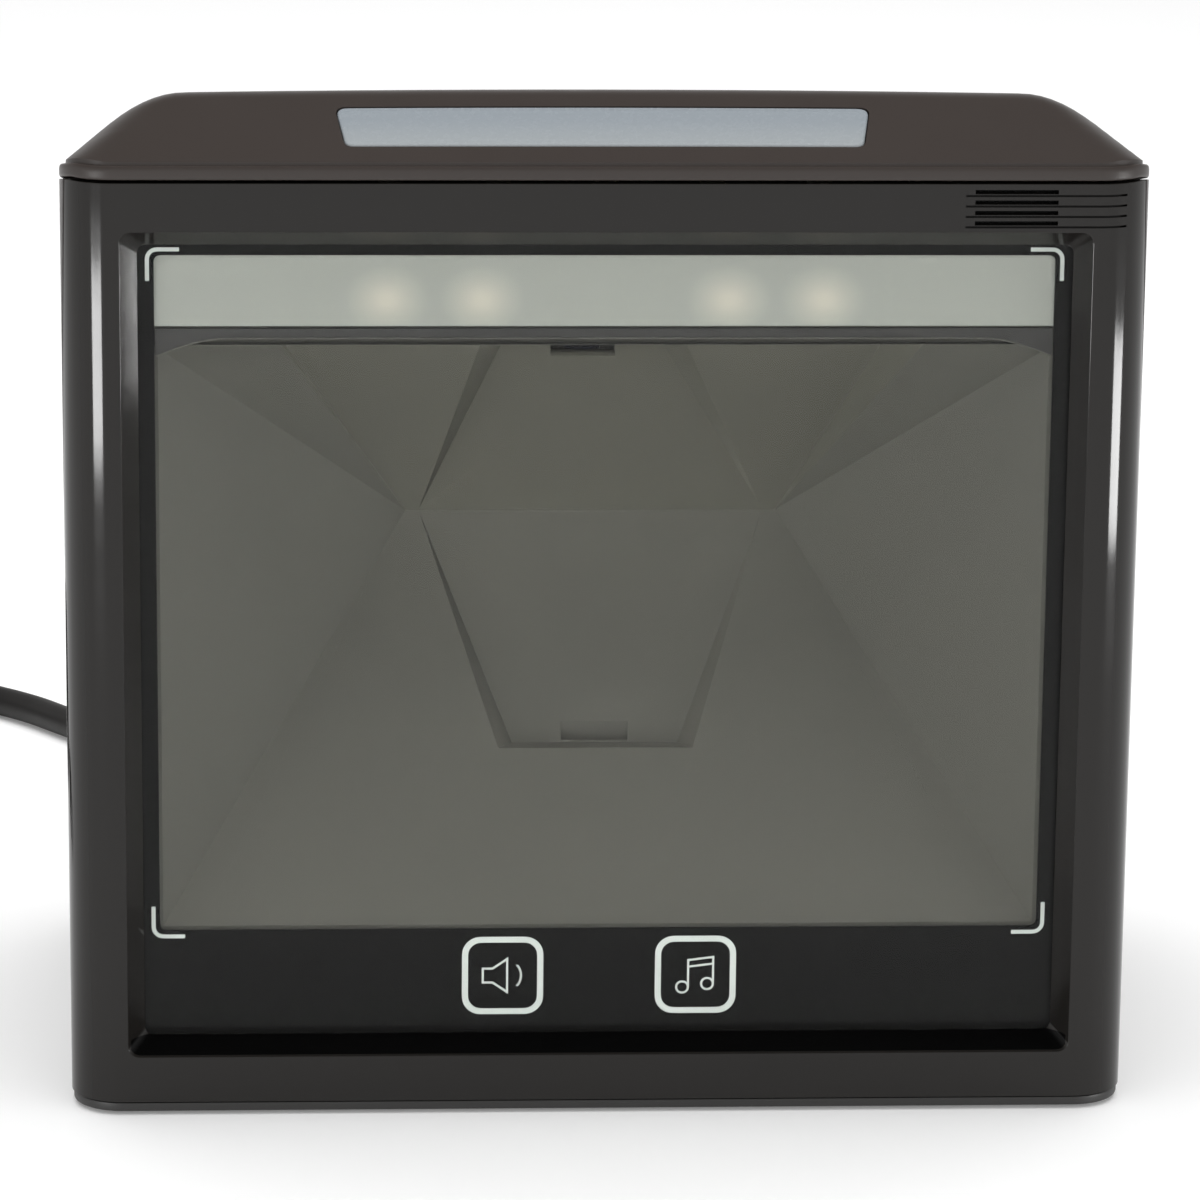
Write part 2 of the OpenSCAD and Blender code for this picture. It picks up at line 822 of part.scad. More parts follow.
module speaker_magnet() {
  color([0.35, 0.35, 0.37]) {
    difference() {
      rod(speaker_x, speaker_back + 7.6, speaker_z, 5.9, 5);
      rod(speaker_x, speaker_back + 7, speaker_z, 4.6, 3.6);
    }
    rod(speaker_x, speaker_back + 4.8, speaker_z, 2.4, 6);
  }
}

module speaker_cone() {
  color([0.12, 0.12, 0.13])
    translate([speaker_x, back(speaker_back + 1), speaker_z]) rotate([-90, 0, 0])
      rotate_extrude()
        polygon([[0, 1.4], [3, 1.8], [3.7, 2.4], [8, 0.6], [8.6, 0], [cone_d / 2 - 0.5, 0],
                 [cone_d / 2, 0.6], [cone_d / 2, 1.1], [cone_d / 2 - 0.7, 0.8], [8.7, 0.8],
                 [8.2, 1.4], [3.8, 3.4], [3.8, 7.6], [3.2, 7.6], [3.2, 2.6], [0, 2]]);
}

module speaker_mesh() {
  color([0.1, 0.1, 0.1]) translate([49.7, back(2), 129.5]) cube([15.1, 0.4, 5.6]);
}

// ---------------------------------------------------------------- cord and plugs

lead = [
  [host_x, 48, jack_z], [host_x, 60, jack_z], [host_x, 72, jack_z],
  [-17, 84, 17.5], [-22, 96, 11], [-32, 106, 5.5], [-44, 113, 2.8],
  [-56, 119, 2.6], [-67, 127, 2.6], [-77, 136.5, 2.6], [-85, 146.5, 2.6],
  [-91, 154, 2.6], [-98, 160, 2.6], [-107, 164.5, 3], [-118, 166.5, 5],
  [-130, 166, 7.5], [coil_x, 165, 8.6]
];
tail = [
  [-170, 137, 8.6], [-170, 126, 7.4], [-169.5, 115, 5.4],
  [-168.5, 104, 4.2], [plug_x, 93, 4], [plug_x, 86, 4]
];

function unit(v) = v / norm(v);
function heading(p, i) = unit(p[min(i + 1, len(p) - 1)] - p[max(i - 1, 0)]);
function ring_point(p, i, j, sides, r) =
  let (
    d = heading(p, i),
    side = unit(cross(d, [0, 0, 1])),
    up = cross(side, d),
    a = 360 * j / sides
  ) p[i] + r * cos(a) * side + r * sin(a) * up;

// soft tube swept along a route, closed at both ends
module tube(route, r, sides) {
  n = len(route);
  polyhedron(
    points = [for (i = [0:n - 1], j = [0:sides - 1]) ring_point(route, i, j, sides, r)],
    faces = concat(
      [[for (j = [0:sides - 1]) j]],
      [for (i = [0:n - 2], j = [0:sides - 1])
        [i * sides + j, (i + 1) * sides + j,
         (i + 1) * sides + (j + 1) % sides, i * sides + (j + 1) % sides]],
      [[for (j = [sides - 1:-1:0]) (n - 1) * sides + j]]));
}

module interface_cord() {
  color([0.1, 0.1, 0.1]) {
    tube(lead, cord_d / 2, 10);
    tube(tail, cord_d / 2, 10);
  }
}

module cord_coil() {
  color([0.1, 0.1, 0.1]) translate([coil_x, coil_y, coil_z])
    rotate_extrude($fn = 64) translate([coil_d / 2, 0]) circle(bundle_r);
}

module cord_ties() {
  color([0.2, 0.2, 0.2])
    for (a = [-60, 150]) translate([coil_x, coil_y, coil_z]) rotate([0, 0, a])
      translate([coil_d / 2, 0, 0]) rotate([90, 0, 0]) translate([0, 0, -5])
        difference() {
          cylinder(r = bundle_r + tie_t, h = 10);
          translate([0, 0, -1]) cylinder(r = bundle_r, h = 12);
        }
}

module modular_plug() {
  color([0.7, 0.7, 0.72]) difference() {
    union() {
      translate([host_x - 5.85, back(76), jack_z - 4.4]) cube([11.7, 21, 6.6]);
      translate([host_x - 3, back(76.2), jack_z + 2.2]) cube([6, 15, 0.8]);
    }
    rod(host_x, 90, jack_z, cord_d / 2, 20);
  }
}

module cord_boot() {
  color([0.08, 0.08, 0.08]) difference() {
    union() {
      translate([host_x - 7, back(97), jack_z - 6]) cube([14, 9, 12]);
      translate([host_x, back(105.9), jack_z]) rotate([-90, 0, 0])
        cylinder(r1 = 5.6, r2 = 3.6, h = 18);
      for (i = [0:3]) rod(host_x, 107.5 + i * 4, jack_z, 5.6 - i * 0.4, 2);
    }
    rod(host_x, 90, jack_z, cord_d / 2, 40);
  }
}

module usb_plug_grip() {
  color([0.08, 0.08, 0.08]) difference() {
    union() {
      translate([plug_x - 7.5, 52, 0]) cube([15, 24, 8]);
      translate([plug_x, 75.9, 4]) rotate([-90, 0, 0]) cylinder(r1 = 4, r2 = 3.3, h = 14);
    }
    translate([plug_x, 70, 4]) rotate([-90, 0, 0]) cylinder(r = cord_d / 2, h = 40);
  }
}

module usb_plug_shell() {
  color([0.8, 0.8, 0.82]) difference() {
    translate([plug_x - 6, 33, 1.75]) cube([12, 19, 4.5]);
    translate([plug_x - 5.6, 32, 2.15]) cube([11.2, 10, 1.9]);
  }
}

// ---------------------------------------------------------------- drawing

front_bezel();
top_cover();
rear_housing();
connector_bay();
base_plate();
rubber_feet();
status_lens();
status_board();
status_leds();
window_glass();
window_mask();
corner_brackets();
volume_key_mark();
tone_key_mark();
window_gasket();
touch_board();
touch_cable();
optical_chamber();
chamber_floor();
chamber_roof();
chamber_sides();
fold_mirror();
mirror_clips();
light_visor();
light_diffuser();
illumination_board();
illumination_leds();
camera_housing();
lens_barrel();
camera_lens();
image_sensor();
camera_board();
main_board();
board_chips();
host_jack();
aux_jack();
speaker_frame();
speaker_magnet();
speaker_cone();
speaker_mesh();
chamber_screws();
board_screws();
housing_screws();
threaded_inserts();
rating_label();
modular_plug();
cord_boot();
interface_cord();
cord_coil();
cord_ties();
usb_plug_grip();
usb_plug_shell();
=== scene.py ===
import json
import math

import bmesh
import bpy
from mathutils import Matrix, Vector


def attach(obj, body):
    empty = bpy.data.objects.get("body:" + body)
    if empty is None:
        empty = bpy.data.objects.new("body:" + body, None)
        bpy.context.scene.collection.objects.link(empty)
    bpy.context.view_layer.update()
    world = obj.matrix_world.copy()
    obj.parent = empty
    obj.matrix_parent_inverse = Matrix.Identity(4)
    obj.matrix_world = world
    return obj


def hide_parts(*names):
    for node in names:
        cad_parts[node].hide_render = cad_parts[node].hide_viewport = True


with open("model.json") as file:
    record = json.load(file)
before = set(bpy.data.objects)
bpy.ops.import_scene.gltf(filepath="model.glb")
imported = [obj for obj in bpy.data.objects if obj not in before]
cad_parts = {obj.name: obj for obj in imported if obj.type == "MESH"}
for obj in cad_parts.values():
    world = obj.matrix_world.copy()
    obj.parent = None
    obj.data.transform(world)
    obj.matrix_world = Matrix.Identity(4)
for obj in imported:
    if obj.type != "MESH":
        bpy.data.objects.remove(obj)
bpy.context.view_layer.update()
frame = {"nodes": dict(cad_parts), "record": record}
NODES = frame["nodes"]
scene = bpy.context.scene
MM = 0.001

# Lengths in this file are millimetres unless a line says otherwise. "d" is the
# distance behind the front plane of the housing.
HALF_W = 76.0
HALF_D = 50.0
FRONT_R = 7.5
REAR_R = 14.0
WALL = 2.2
SEAM_D = 4.0
SEAM_LEAN = math.radians(3.3)
EDGE_FALL = math.tan(math.radians(12))
LIP_Z0 = 136.2
LIP_Z1 = 138.4
CORD_D = 5.2


def back(d):
    return d - HALF_D


# ------------------------------------------------------------------ camera

def make_camera():
    """The camera's place is in metres."""
    yaw, pitch, roll = (math.radians(a) for a in (2.88, 14.84, -0.58))
    ahead = Vector((math.sin(yaw) * math.cos(pitch), math.cos(yaw) * math.cos(pitch), -math.sin(pitch)))
    right = Vector((math.cos(yaw), -math.sin(yaw), 0))
    down = ahead.cross(right)
    right, down = (math.cos(roll) * right + math.sin(roll) * down,
                   -math.sin(roll) * right + math.cos(roll) * down)
    data = bpy.data.cameras.new("camera")
    data.sensor_width = 36
    data.lens = 174.9
    data.clip_start = 0.02
    data.clip_end = 50
    cam = bpy.data.objects.new("camera", data)
    cam.matrix_world = Matrix((
        (right.x, -down.x, -ahead.x, -0.0405),
        (right.y, -down.y, -ahead.y, -0.8420),
        (right.z, -down.z, -ahead.z, 0.2865),
        (0, 0, 0, 1)))
    scene.collection.objects.link(cam)
    scene.camera = cam


make_camera()


# ------------------------------------------------------------------ materials

class Paint:
    """A node material on one Principled shader, with its textures in object space."""

    def __init__(self, name):
        self.material = bpy.data.materials.new(name)
        self.material.use_nodes = True
        self.tree = self.material.node_tree
        self.shader = self.tree.nodes["Principled BSDF"]
        self.place = self.tree.nodes.new("ShaderNodeTexCoord").outputs["Object"]
        self.heights = []

    def node(self, kind, **inputs):
        made = self.tree.nodes.new(kind)
        for key, value in inputs.items():
            socket = made.inputs[key.replace("_", " ")]
            if isinstance(value, bpy.types.NodeSocket):
                self.tree.links.new(value, socket)
            else:
                socket.default_value = value
        return made

    def stretched(self, x=1.0, y=1.0, z=1.0, turn=(0, 0, 0)):
        made = self.node("ShaderNodeMapping", Vector=self.place)
        made.inputs["Scale"].default_value = (x, y, z)
        made.inputs["Rotation"].default_value = turn
        return made.outputs["Vector"]

    def noise(self, scale, detail=2.0, rough=0.5, place=None):
        made = self.node("ShaderNodeTexNoise", Vector=place or self.place,
                         Scale=scale, Detail=detail, Roughness=rough)
        return made.outputs["Fac"]

    def maths(self, operation, a, b=0.0):
        made = self.tree.nodes.new("ShaderNodeMath")
        made.operation = operation
        for socket, value in zip(made.inputs, (a, b)):
            if isinstance(value, bpy.types.NodeSocket):
                self.tree.links.new(value, socket)
            else:
                socket.default_value = value
        return made.outputs[0]

    def mapped(self, value, low, high, start=0.0, end=1.0):
        made = self.tree.nodes.new("ShaderNodeMapRange")
        self.tree.links.new(value, made.inputs["Value"])
        for key, number in (("From Min", start), ("From Max", end), ("To Min", low), ("To Max", high)):
            made.inputs[key].default_value = number
        return made.outputs["Result"]

    def mixed(self, share, a, b):
        made = self.tree.nodes.new("ShaderNodeMix")
        made.data_type = "RGBA"
        for socket, value in ((made.inputs[0], share), (made.inputs[6], a), (made.inputs[7], b)):
            if isinstance(value, bpy.types.NodeSocket):
                self.tree.links.new(value, socket)
            elif isinstance(value, float):
                socket.default_value = value
            else:
                socket.default_value = (*value, 1)
        return made.outputs[2]

    def axis(self, which):
        made = self.node("ShaderNodeSeparateXYZ", Vector=self.place)
        return made.outputs[which]

    def set(self, **values):
        for key, value in values.items():
            socket = self.shader.inputs[key.replace("_", " ")]
            if isinstance(value, bpy.types.NodeSocket):
                self.tree.links.new(value, socket)
            elif isinstance(value, tuple) and len(value) == 3:
                socket.default_value = (*value, 1)
            else:
                socket.default_value = value
        return self

    def raised(self, height, strength, depth):
        """Adds one layer of bump. depth is in millimetres."""
        made = self.node("ShaderNodeBump", Height=height, Strength=strength, Distance=depth * MM)
        if self.heights:
            self.tree.links.new(self.heights[-1], made.inputs["Normal"])
        self.heights.append(made.outputs["Normal"])
        self.tree.links.new(made.outputs["Normal"], self.shader.inputs["Normal"])
        return self


def srgb(r, g, b):
    def one(c):
        c /= 255
        return c / 12.92 if c <= 0.04045 else ((c + 0.055) / 1.055) ** 2.4
    return (one(r), one(g), one(b))


def shade(colour, factor):
    return tuple(min(1.0, c * factor) for c in colour)


def plastic(name, colour, rough, spread=0.06, grain=2200.0, grain_depth=0.012, vary=0.12,
            level=0.5, coat=0.0, coat_rough=0.08):
    """Moulded plastic: faint flow clouding, a fine moulded grain and uneven gloss."""
    p = Paint(name)
    cloud = p.noise(38.0, 4.0, 0.6)
    fine = p.noise(grain, 3.0, 0.55)
    speck = p.noise(grain * 0.32, 2.0, 0.6)
    share = p.maths("ADD", p.maths("MULTIPLY", cloud, 0.65), p.maths("MULTIPLY", fine, 0.35))
    p.set(Base_Color=p.mixed(share, shade(colour, 1 - vary), shade(colour, 1 + vary)),
          Roughness=p.mapped(p.noise(160.0, 4.0, 0.6), rough - spread, rough + spread, 0.3, 0.7),
          Specular_IOR_Level=level)
    if coat:
        p.set(Coat_Weight=coat, Coat_Roughness=coat_rough)
    p.raised(fine, 0.5, grain_depth)
    p.raised(speck, 0.35, grain_depth)
    return p.material


def metal(name, colour, rough, brush=(1.0, 1.0, 30.0)):
    p = Paint(name)
    streak = p.noise(420.0, 3.0, 0.6, p.stretched(*brush))
    wear = p.noise(90.0, 4.0, 0.65)
    p.set(Base_Color=p.mixed(wear, shade(colour, 0.82), shade(colour, 1.08)),
          Metallic=1.0,
          Roughness=p.mapped(p.maths("ADD", p.maths("MULTIPLY", streak, 0.6), p.maths("MULTIPLY", wear, 0.4)),
                             rough - 0.09, rough + 0.12, 0.3, 0.7))
    p.raised(streak, 0.3, 0.01)
    return p.material


def rubber(name, colour, rough=0.62):
    p = Paint(name)
    fine = p.noise(3200.0, 4.0, 0.65)
    dust = p.noise(70.0, 5.0, 0.7)
    p.set(Base_Color=p.mixed(dust, shade(colour, 0.8), shade(colour, 1.3)),
          Roughness=p.mapped(dust, rough - 0.08, rough + 0.1, 0.3, 0.7),
          Specular_IOR_Level=0.35)
    p.raised(fine, 0.5, 0.02)
    p.raised(p.noise(600.0, 3.0, 0.6), 0.35, 0.03)
    return p.material


def circuit_board(name):
    """Green solder resist with copper tracks under it and tinned pads."""
    p = Paint(name)
    flat = p.stretched(1, 1, 1, (math.radians(90), 0, 0))
    tracks = p.node("ShaderNodeTexBrick", Vector=flat, Scale=210.0).outputs["Fac"]
    grid = p.node("ShaderNodeTexVoronoi", Vector=p.stretched(1, 0.2, 1), Scale=260.0).outputs["Distance"]
    pads = p.maths("LESS_THAN", grid, 0.12)
    green = p.mixed(tracks, (0.006, 0.075, 0.028), (0.012, 0.13, 0.05))
    p.set(Base_Color=p.mixed(pads, green, (0.42, 0.42, 0.4)),
          Roughness=p.mapped(p.noise(300.0), 0.28, 0.45, 0.3, 0.7),
          Metallic=p.maths("MULTIPLY", pads, 0.9))
    p.raised(tracks, 0.5, 0.035)
    return p.material


def woven(name, colour):
    """Fine acoustic cloth: threads over and under each other."""
    p = Paint(name)
    across = p.node("ShaderNodeTexWave", Vector=p.place, Scale=900.0).outputs["Fac"]
    upright = p.tree.nodes.new("ShaderNodeTexWave")
    upright.bands_direction = "Z"
    upright.inputs["Scale"].default_value = 900.0
    p.tree.links.new(p.place, upright.inputs["Vector"])
    threads = p.maths("MULTIPLY", across, upright.outputs["Fac"])
    p.set(Base_Color=p.mixed(threads, shade(colour, 0.4), shade(colour, 1.6)), Roughness=0.8)
    p.raised(threads, 0.9, 0.08)
    return p.material


def glass_material(name):
    p = Paint(name)
    smear = p.noise(24.0, 4.0, 0.7)
    p.set(Base_Color=p.mixed(smear, (0.93, 0.94, 0.925), (0.95, 0.955, 0.945)),
          Roughness=p.mapped(smear, 0.0, 0.02, 0.4, 0.9),
          IOR=1.2, Transmission_Weight=1.0, Specular_IOR_Level=0.5)
    return p.material


def mirror_material(name):
    p = Paint(name)
    haze = p.noise(45.0, 4.0, 0.65)
    p.set(Base_Color=p.mixed(haze, (0.80, 0.80, 0.74), (0.86, 0.86, 0.80)), Metallic=1.0,
          Roughness=p.mapped(haze, 0.01, 0.05, 0.35, 0.8))
    return p.material


def diffuser_material(name, colour, glow):
    """Milky plastic with a soft pool of lamp light in front of each diode."""
    p = Paint(name)
    x, z = p.axis(0), p.axis(2)
    pools = None
    for lamp in (-30.6, -17.3, 17.3, 30.6):
        dx = p.maths("SUBTRACT", x, lamp * MM)
        dz = p.maths("MULTIPLY", p.maths("SUBTRACT", z, 0.1183), 1.2)
        away = p.maths("SQRT", p.maths("ADD", p.maths("MULTIPLY", dx, dx), p.maths("MULTIPLY", dz, dz)))
        pool = p.mapped(away, 0.0, 0.55, 0.0062, 0.0008)
        pools = pool if pools is None else p.maths("MAXIMUM", pools, pool)
    ripple = p.noise(900.0, 3.0, 0.6)
    p.set(Base_Color=p.mixed(pools, colour, shade(colour, 1.15)),
          Roughness=p.mapped(ripple, 0.3, 0.5, 0.3, 0.7),
          Emission_Color=p.mixed(pools, shade(colour, 0.9), (1.0, 0.82, 0.58)),
          Emission_Strength=p.mapped(pools, glow * 0.35, glow, 0.0, 1.0))
    p.raised(ripple, 0.3, 0.02)
    return p.material


def bezel_material(name, colour):
    """Polished plastic with painted shade: the sill under the window is coloured nearly black and given less
    reflection, standing in for the shade it sits in.
    """
    p = Paint(name)
    cloud = p.noise(38.0, 4.0, 0.6)
    fine = p.noise(1500.0, 3.0, 0.55)
    low, high, front, half = 7.9 * MM, 11.3 * MM, -49.7 * MM, 67.2 * MM
    # Painted shade: this mask over the sill under the window darkens its colour to near black and lowers its
    # reflection.
    painted_sill_shade = p.maths("MULTIPLY", p.maths("LESS_THAN", p.axis(2), high), p.maths("GREATER_THAN", p.axis(2), low))
    painted_sill_shade = p.maths("MULTIPLY", painted_sill_shade, p.maths("GREATER_THAN", p.axis(1), front))
    painted_sill_shade = p.maths("MULTIPLY", painted_sill_shade, p.maths("LESS_THAN", p.maths("ABSOLUTE", p.axis(0)), half))
    body = p.mixed(cloud, shade(colour, 0.92), shade(colour, 1.08))
    p.set(Base_Color=p.mixed(painted_sill_shade, body, (0.0015, 0.0015, 0.0015)),
          Roughness=p.mapped(p.noise(160.0, 4.0, 0.6), 0.06, 0.1, 0.3, 0.7),
          Specular_IOR_Level=p.mapped(painted_sill_shade, 0.3, 0.12, 0.0, 1.0))
    p.raised(fine, 0.5, 0.002)
    p.raised(cloud, 0.2, 0.004)
    return p.material


def lens_material(name):
    """Milky light guide: bluish towards its upper edge, paler along the lower one."""
    p = Paint(name)
    rise = p.mapped(p.axis(2), 0.0, 1.0, 138.5 * MM, 143.2 * MM)
    ripple = p.noise(900.0, 3.0, 0.6)
    p.set(Base_Color=p.mixed(rise, srgb(158, 162, 162), srgb(136, 143, 149)),
          Roughness=p.mapped(ripple, 0.2, 0.32, 0.3, 0.7), Specular_IOR_Level=0.4)
    p.raised(ripple, 0.15, 0.0006)
    return p.material


def make_materials():
    lamp = Paint("lamp")
    ring = lamp.node("ShaderNodeTexVoronoi", Vector=lamp.place, Scale=420.0).outputs["Distance"]
    lamp.set(Base_Color=lamp.mixed(ring, (0.9, 0.8, 0.45), (0.85, 0.85, 0.78)), Roughness=0.25,
             Specular_IOR_Level=0.3)
    return {
        "bezel_plastic": bezel_material("bezel_plastic", srgb(28, 26, 24)),
        "cover_plastic": plastic("cover_plastic", srgb(56, 50, 47), 0.38, 0.04, 2600.0, 0.008, 0.08, 0.35),
        "housing_plastic": plastic("housing_plastic", srgb(48, 43, 41), 0.36, 0.04, 2600.0, 0.008,
                                   0.08, 0.35),
        "base_plastic": plastic("base_plastic", srgb(38, 37, 36), 0.45, 0.06, 2400.0, 0.015),
        "foot_rubber": rubber("foot_rubber", (0.018, 0.018, 0.018)),
        "lens_plastic": lens_material("lens_plastic"),
        "board": circuit_board("board"),
        "led": lamp.material,
        "glass": glass_material("glass"),
        "black_print": plastic("black_print", srgb(4, 4, 4), 0.5, 0.04, 1800.0, 0.002, 0.1, 0.02),
        "pale_print": plastic("pale_print", srgb(206, 212, 208), 0.5, 0.05, 1800.0, 0.003, 0.05),
        "foam": rubber("foam", (0.03, 0.03, 0.03), 0.85),
        "copper_film": metal("copper_film", (0.72, 0.36, 0.14), 0.35),
        "chamber_plastic": plastic("chamber_plastic", srgb(83, 82, 76), 0.55, 0.04, 1800.0, 0.004, 0.04, 0.3),
        "mirror": mirror_material("mirror"),
        "spring_steel": metal("spring_steel", (0.6, 0.6, 0.6), 0.3),
        "visor_plastic": plastic("visor_plastic", srgb(30, 29, 27), 0.5),
        "diffuser": diffuser_material("diffuser", srgb(146, 149, 142), 0.5),
        "camera_plastic": plastic("camera_plastic", srgb(22, 22, 22), 0.5),
        "lens_glass": plastic("lens_glass", (0.02, 0.022, 0.05), 0.06, 0.02, 900.0, 0.001, 0.2, 0.8, 0.8),
        "silicon": plastic("silicon", (0.05, 0.05, 0.09), 0.15, 0.03),
        "chip": plastic("chip", (0.015, 0.015, 0.016), 0.5),
        "steel": metal("steel", (0.55, 0.55, 0.57), 0.32),
        "brass": metal("brass", (0.72, 0.52, 0.22), 0.3, (1.0, 1.0, 8.0)),
        "cone_paper": rubber("cone_paper", (0.02, 0.02, 0.022), 0.75),
        "mesh": woven("mesh", (0.01, 0.01, 0.01)),
        "label": plastic("label", srgb(196, 198, 198), 0.45),
        "clear_plug": plastic("clear_plug", srgb(170, 172, 172), 0.12, 0.03, 900.0, 0.002, 0.06, 0.6, 0.5),
        "cord_rubber": rubber("cord_rubber", srgb(38, 37, 36), 0.5),
        "tie": plastic("tie", srgb(60, 60, 60), 0.5),
        "plug_metal": metal("plug_metal", (0.75, 0.75, 0.76), 0.24, (30.0, 1.0, 1.0)),
    }


MATERIALS = make_materials()


def dress_cad_nodes():
    """Every CAD node that stays in view gets its slot's finished material."""
    slots = {part["node"]: part["material_slot"] for part in frame["record"]["subparts"]}
    for name, o in NODES.items():
        material = MATERIALS.get(slots.get(name, ""))
        if material is None:
            continue
        o.data.materials.clear()
        o.data.materials.append(material)


dress_cad_nodes()


# ------------------------------------------------------------------ cord

LEAD = [
    (-16, 48, 20), (-16, 60, 20), (-16, 72, 20), (-17, 84, 17.5), (-22, 96, 11),
    (-32, 106, 5.5), (-44, 113, 2.8), (-56, 119, 2.6), (-67, 127, 2.6), (-77, 136.5, 2.6),
    (-85, 146.5, 2.6), (-91, 154, 2.6), (-98, 160.5, 2.6), (-107, 165.5, 3.2),
    (-118, 168.6, 5.0), (-130, 170, 7.4),
]
TAIL = [(-169.6, 125, 15.8), (-169.2, 113.5, 11.2), (-168.6, 103, 6.8), (-168, 93, 4.2), (-168, 84, 4)]
COIL = (-142.0, 137.0, 8.6)


def coil_points():
    """Seven turns packed six round one, and a last quarter turn that lies on top."""
    step = CORD_D
    seats = [(step, 0), (step * 0.5, -step * 0.866), (-step * 0.5, -step * 0.866), (-step, 0),
             (0, 0), (-step * 0.5, step * 0.866), (step * 0.5, step * 0.866), (0, step * 1.732)]
    made, each = [], 18
    for i in range(int(7.25 * each) + 1):
        turn = i / each
        k = int(turn)
        part = turn - k
        blend = min(1.0, max(0.0, (part - 0.8) / 0.2))
        blend = blend * blend * (3 - 2 * blend)
        a, b = seats[k], seats[min(k + 1, 7)]
        out = a[0] + (b[0] - a[0]) * blend
        up = a[1] + (b[1] - a[1]) * blend
        angle = math.radians(90) + 2 * math.pi * turn
        made.append((COIL[0] + (28 + out) * math.cos(angle),
                     COIL[1] + (28 + out) * math.sin(angle), COIL[2] + up))
    return made


def make_cord():
    points = LEAD + coil_points() + TAIL
    curve = bpy.data.curves.new("interface_lead", "CURVE")
    curve.dimensions = "3D"
    curve.bevel_depth = CORD_D / 2 * MM
    curve.bevel_resolution = 5
    curve.resolution_u = 5
    curve.use_fill_caps = True
    spline = curve.splines.new("BEZIER")
    spline.bezier_points.add(len(points) - 1)
    for knot, p in zip(spline.bezier_points, points):
        knot.co = Vector(p) * MM
        knot.handle_left_type = knot.handle_right_type = "AUTO"
    o = bpy.data.objects.new("interface_lead", curve)
    scene.collection.objects.link(o)
    curve.materials.append(MATERIALS["cord_rubber"])
    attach(o, "scanner")
    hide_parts("interface_cord", "cord_coil")
    return o


cord = make_cord()


# ------------------------------------------------------------------ mesh tools

def outline(inset, arc=14):
    """Upright outline of the housing from above, anticlockwise from the front left."""
    w, h = HALF_W - inset, HALF_D - inset
    f, r = FRONT_R - inset, REAR_R - inset
    points = []
    for cx, cy, radius, start in ((-w + f, -h + f, f, 180), (w - f, -h + f, f, 270),
                                  (w - r, h - r, r, 0), (-w + r, h - r, r, 90)):
        for i in range(arc + 1):
            a = math.radians(start + 90 * i / arc)
            points.append((cx + radius * math.cos(a), cy + radius * math.sin(a)))
    return points


def prism(points, low, high):
    """A closed solid over a flat outline. low and high are numbers or functions of (x, y)."""
    bm = bmesh.new()
    at = [f if callable(f) else (lambda x, y, f=f: f) for f in (low, high)]
    rings = [[bm.verts.new((x, y, f(x, y))) for x, y in points] for f in at]
    n = len(points)
    bm.faces.new(reversed(rings[0]))
    bm.faces.new(rings[1])
    for i in range(n):
        j = (i + 1) % n
        bm.faces.new((rings[0][i], rings[0][j], rings[1][j], rings[1][i]))
    bm.normal_update()
    return bm


def block(x0, x1, d0, d1, z0, z1):
    return prism([(x0, back(d0)), (x1, back(d0)), (x1, back(d1)), (x0, back(d1))], z0, z1)


def rod(centre, axis, radius, length, sides=40, end_radius=None):
    bm = bmesh.new()
    bmesh.ops.create_cone(bm, cap_ends=True, segments=sides, radius1=radius,
                          radius2=radius if end_radius is None else end_radius, depth=length)
    turn = Vector((0, 0, 1)).rotation_difference(Vector(axis)).to_matrix().to_4x4()
    place = Matrix.Translation(Vector(centre) + Vector(axis).normalized() * length / 2)
    bm.transform(place @ turn)
    return bm


def cut(bm, point, normal):
    """Takes away what lies on the side of a plane that its normal points to, and closes the cut."""
    geometry = bm.verts[:] + bm.edges[:] + bm.faces[:]
    made = bmesh.ops.bisect_plane(bm, geom=geometry, plane_co=point, plane_no=normal,
                                  clear_outer=True, dist=1e-5)
    edges = [g for g in made["geom_cut"] if isinstance(g, bmesh.types.BMEdge) and g.is_boundary]
    if edges:
        bmesh.ops.contextual_create(bm, geom=edges)
    return bm


def scratch(bm):
    mesh = bpy.data.meshes.new("scratch")
    bm.to_mesh(mesh)
    bm.free()
    o = bpy.data.objects.new("scratch", mesh)
    scene.collection.objects.link(o)
    return o


def taken(objects):
    """The first object's mesh with its modifiers applied; every object given is then removed."""
    bpy.context.view_layer.update()
    mesh = bpy.data.meshes.new_from_object(objects[0].evaluated_get(bpy.context.evaluated_depsgraph_get()))
    bm = bmesh.new()
    bm.from_mesh(mesh)
    bpy.data.meshes.remove(mesh)
    for o in objects:
        old = o.data
        bpy.data.objects.remove(o)
        bpy.data.meshes.remove(old)
    return bm


def combine(bm, others, operation="DIFFERENCE"):
    objects = [scratch(bm)] + [scratch(b) for b in others]
    for other in objects[1:]:
        m = objects[0].modifiers.new("cut", "BOOLEAN")
        m.operation, m.solver, m.object = operation, "EXACT", other
    return taken(objects)


def joined(parts):
    bm = parts[0]
    for other in parts[1:]:
        mesh = bpy.data.meshes.new("part")
        other.to_mesh(mesh)
        other.free()
        bm.from_mesh(mesh)
        bpy.data.meshes.remove(mesh)
    return bm


def eased(bm, width, segments=3, angle=30.0):
    """Rounds every edge sharper than the angle."""
    o = scratch(bm)
    m = o.modifiers.new("ease", "BEVEL")
    m.width, m.segments, m.limit_method, m.angle_limit = width, segments, "ANGLE", math.radians(angle)
    m.profile = 0.5
    return taken([o])


